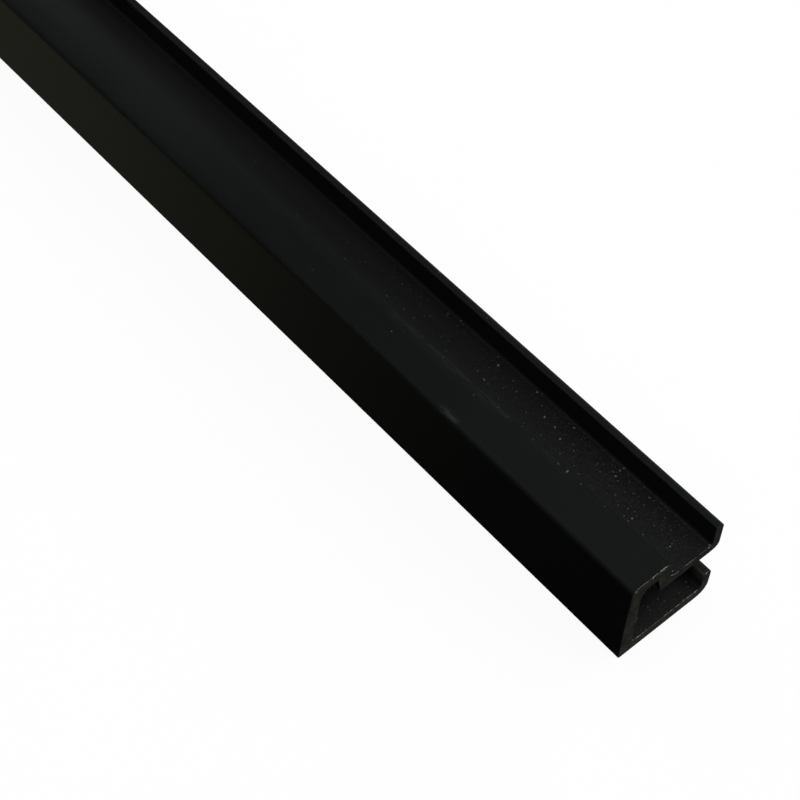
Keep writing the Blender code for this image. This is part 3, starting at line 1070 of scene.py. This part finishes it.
def end_burr():
    """The burr that the saw left along the near cut's arrises."""
    ring = fine_ring()
    form = bmesh.new()
    pale_layer = form.verts.layers.float.new("pale")
    for number, (name, first, last, rise, pale) in enumerate(BURRS):
        shares = (arris_place(name, *first), arris_place(name, *last))
        if abs(shares[1] - shares[0]) > BURR_SHORTEST_SHARE:
            burr_strip(form, pale_layer, name, shares, rise, pale, number)
    rng = random.Random(SEED + 1)
    for across, down, width, pale in BURR_KNOTS:
        burr_knot(form, pale_layer, ring, across, down, width, pale, rng)
    for first, last, width, pale in BURR_DASHES:
        beads = math.ceil(math.dist(first, last) / (width * BEAD_SPACING))
        for bead in range(beads + 1):
            across, down = Vector(first).lerp(Vector(last), bead / beads)
            burr_knot(form, pale_layer, ring, across, down, width, pale * rng.uniform(*BEAD_PALE), rng)
    add_piece("end_burr", finished_mesh(form, "end_burr"), [burr_material()])


def resting_place(across, down, beds):
    """The point of the first level surface that is seen at a place in the photograph.
    One that falls just beside a surface is moved onto it."""
    for bed in beds:
        level, low_y, high_y = BEDS[bed]
        place = meet_level(across, down, level)
        if low_y - BED_SLACK <= place.y <= high_y + BED_SLACK and place.x < NEAR_X:
            place.y = min(high_y, max(low_y, place.y))
            return place
    return None


def fine_crumb(form, pale_layer, x, y, level, rng):
    """One crumb of the finest dust."""
    place = Vector((x, y, level))
    crumb(form, pale_layer, place, UP, rng.uniform(*FINE_SIZES), FINE_PALE * rng.random(), rng)


def saw_dust():
    """Crumbs of plastic on the top and in the channel, thick near the cut."""
    rng = random.Random(SEED)
    form = bmesh.new()
    pale_layer = form.verts.layers.float.new("pale")
    for beds, crumbs in ((TOP_BEDS, CRUMBS), (CHANNEL_BEDS, CHANNEL_CRUMBS)):
        for across, down, width in crumbs:
            place = resting_place(across, down, beds)
            if place:
                pale = CRUMB_PALE[width] * rng.uniform(*CRUMB_PALE_VARIES)
                crumb(form, pale_layer, place, UP, width * pixel_size(place), pale, rng)
    for _ in range(FINE_CRUMBS):
        along = FINE_START + FINE_REACH * rng.betavariate(*FINE_BUNCHING)
        y = FINE_ACROSS[0] + (FINE_ACROSS[1] - FINE_ACROSS[0]) * rng.random() ** FINE_ACROSS_POWER
        fine_crumb(form, pale_layer, NEAR_X - along, y, RECESS_Z, rng)
    for _ in range(CHANNEL_FINE_CRUMBS):
        y = CHANNEL_ACROSS[0] + (CHANNEL_ACROSS[1] - CHANNEL_ACROSS[0]) * rng.random()
        along = FINE_START + CHANNEL_REACH * rng.random() ** CHANNEL_REACH_POWER
        fine_crumb(form, pale_layer, NEAR_X - along, y, BASE_THICKNESS, rng)
    add_piece("saw_dust", finished_mesh(form, "saw_dust"), [dust_material()])


def main_camera():
    """The camera at the photograph's viewing angle."""
    data = bpy.data.cameras.new("photo_camera")
    data.lens = CAMERA_LENS_MM
    data.sensor_width = SENSOR_MM
    data.clip_start, data.clip_end = CAMERA_CLIP
    camera = new_object("photo_camera", data)
    camera.location = CAMERA_PLACE
    camera.rotation_euler = Euler(CAMERA_TURN)
    bpy.context.scene.camera = camera


def area_lamp(name, place, target, side, power, color):
    """A soft square lamp at a place, aimed at a target, that the camera doesn't see."""
    data = bpy.data.lights.new(name, "AREA")
    data.shape = "SQUARE"
    data.size = side
    data.energy = power
    data.color = color
    lamp = new_object(name, data)
    lamp.location = place
    lamp.rotation_euler = (target - place).to_track_quat("-Z", "Y").to_euler()
    lamp.visible_camera = False


def lamps():
    """Soft studio lamps round the near end."""
    for name, (way, power, color) in LAMPS.items():
        place = LAMP_AIM + Vector(way).normalized() * LAMP_REACH
        area_lamp(name, place, LAMP_AIM, LAMP_SIDE, power, color)
    place = Vector((NEAR_X, 0.0, 0.0)) + Vector(SMALL_LAMP_OFFSET)
    target = place + Vector(SMALL_LAMP_AIM)
    area_lamp("closed_side_low", place, target, SMALL_LAMP_SIDE, SMALL_LAMP_POWER, SMALL_LAMP_COLOR)


def by_ray(tree, unseen, seen):
    """One shader for the rays that light the trim, and another for those from the camera,
    also through anything clear. Glossy rays aren't among the latter: the photograph's
    plastic mirrors dark surroundings, and nothing here is metal or glass."""
    path = add_node(tree, "ShaderNodeLightPath")
    share = combined(tree, "MAXIMUM", (path["Is Camera Ray"], path["Is Transmission Ray"]))
    return add_node(tree, "ShaderNodeMixShader", {0: share, 1: unseen, 2: seen})[0]


def sky(tree, strength):
    """An even white sky."""
    return add_node(tree, "ShaderNodeBackground", {"Color": WHITE, "Strength": strength})[0]


def world():
    """A white sky for the camera, and a faint even light for the trim."""
    scene_world = bpy.data.worlds.new("studio")
    scene_world.use_nodes = True
    tree = scene_world.node_tree
    tree.nodes.clear()
    surface = by_ray(tree, sky(tree, SKY_UNSEEN), sky(tree, SKY_SEEN))
    add_node(tree, "ShaderNodeOutputWorld", {"Surface": surface})
    bpy.context.scene.world = scene_world


def glowing(tree, glow_color, strength, color):
    """A matt colour that also glows."""
    glow = add_node(tree, "ShaderNodeEmission", {"Color": glow_color, "Strength": strength})
    matt = add_node(tree, "ShaderNodeBsdfDiffuse", {"Color": color})
    return add_node(tree, "ShaderNodeAddShader", {0: glow[0], 1: matt[0]})[0]


def floor_material():
    """White with the trim's faint shadow for the camera, and a soft grey glow for the trim."""
    material, tree = new_material("floor")
    x, y, _ = axes_of(tree, add_node(tree, "ShaderNodeNewGeometry")["Position"])
    strength = product(tree, behind_cut(tree, x, FLOOR_GLOW_ALONG, RISING), ramp(tree, y, FLOOR_GLOW_Y),
                       FLOOR_GLOW_UNSEEN)
    unseen = glowing(tree, FLOOR_GLOW_COLOR, strength, FLOOR_COLOR_UNSEEN)
    seen = glowing(tree, WHITE, FLOOR_GLOW_SEEN, FLOOR_COLOR_SEEN)
    add_node(tree, "ShaderNodeOutputMaterial", {"Surface": by_ray(tree, unseen, seen)})
    return material


def floor():
    """A wide level floor, just under the trim."""
    mesh = bpy.data.meshes.new("floor")
    corners = [(FLOOR_HALF * x, FLOOR_HALF * y, 0) for x, y in ((-1, -1), (1, -1), (1, 1), (-1, 1))]
    mesh.from_pydata(corners, [], [(0, 1, 2, 3)])
    mesh.materials.append(floor_material())
    ground = new_object("floor", mesh)
    ground.location.z = -FLOOR_DROP


main_camera()
lamps()
world()
floor()
trim_body()
end_burr()
saw_dust()

bpy.context.scene.view_settings.view_transform = "Standard"
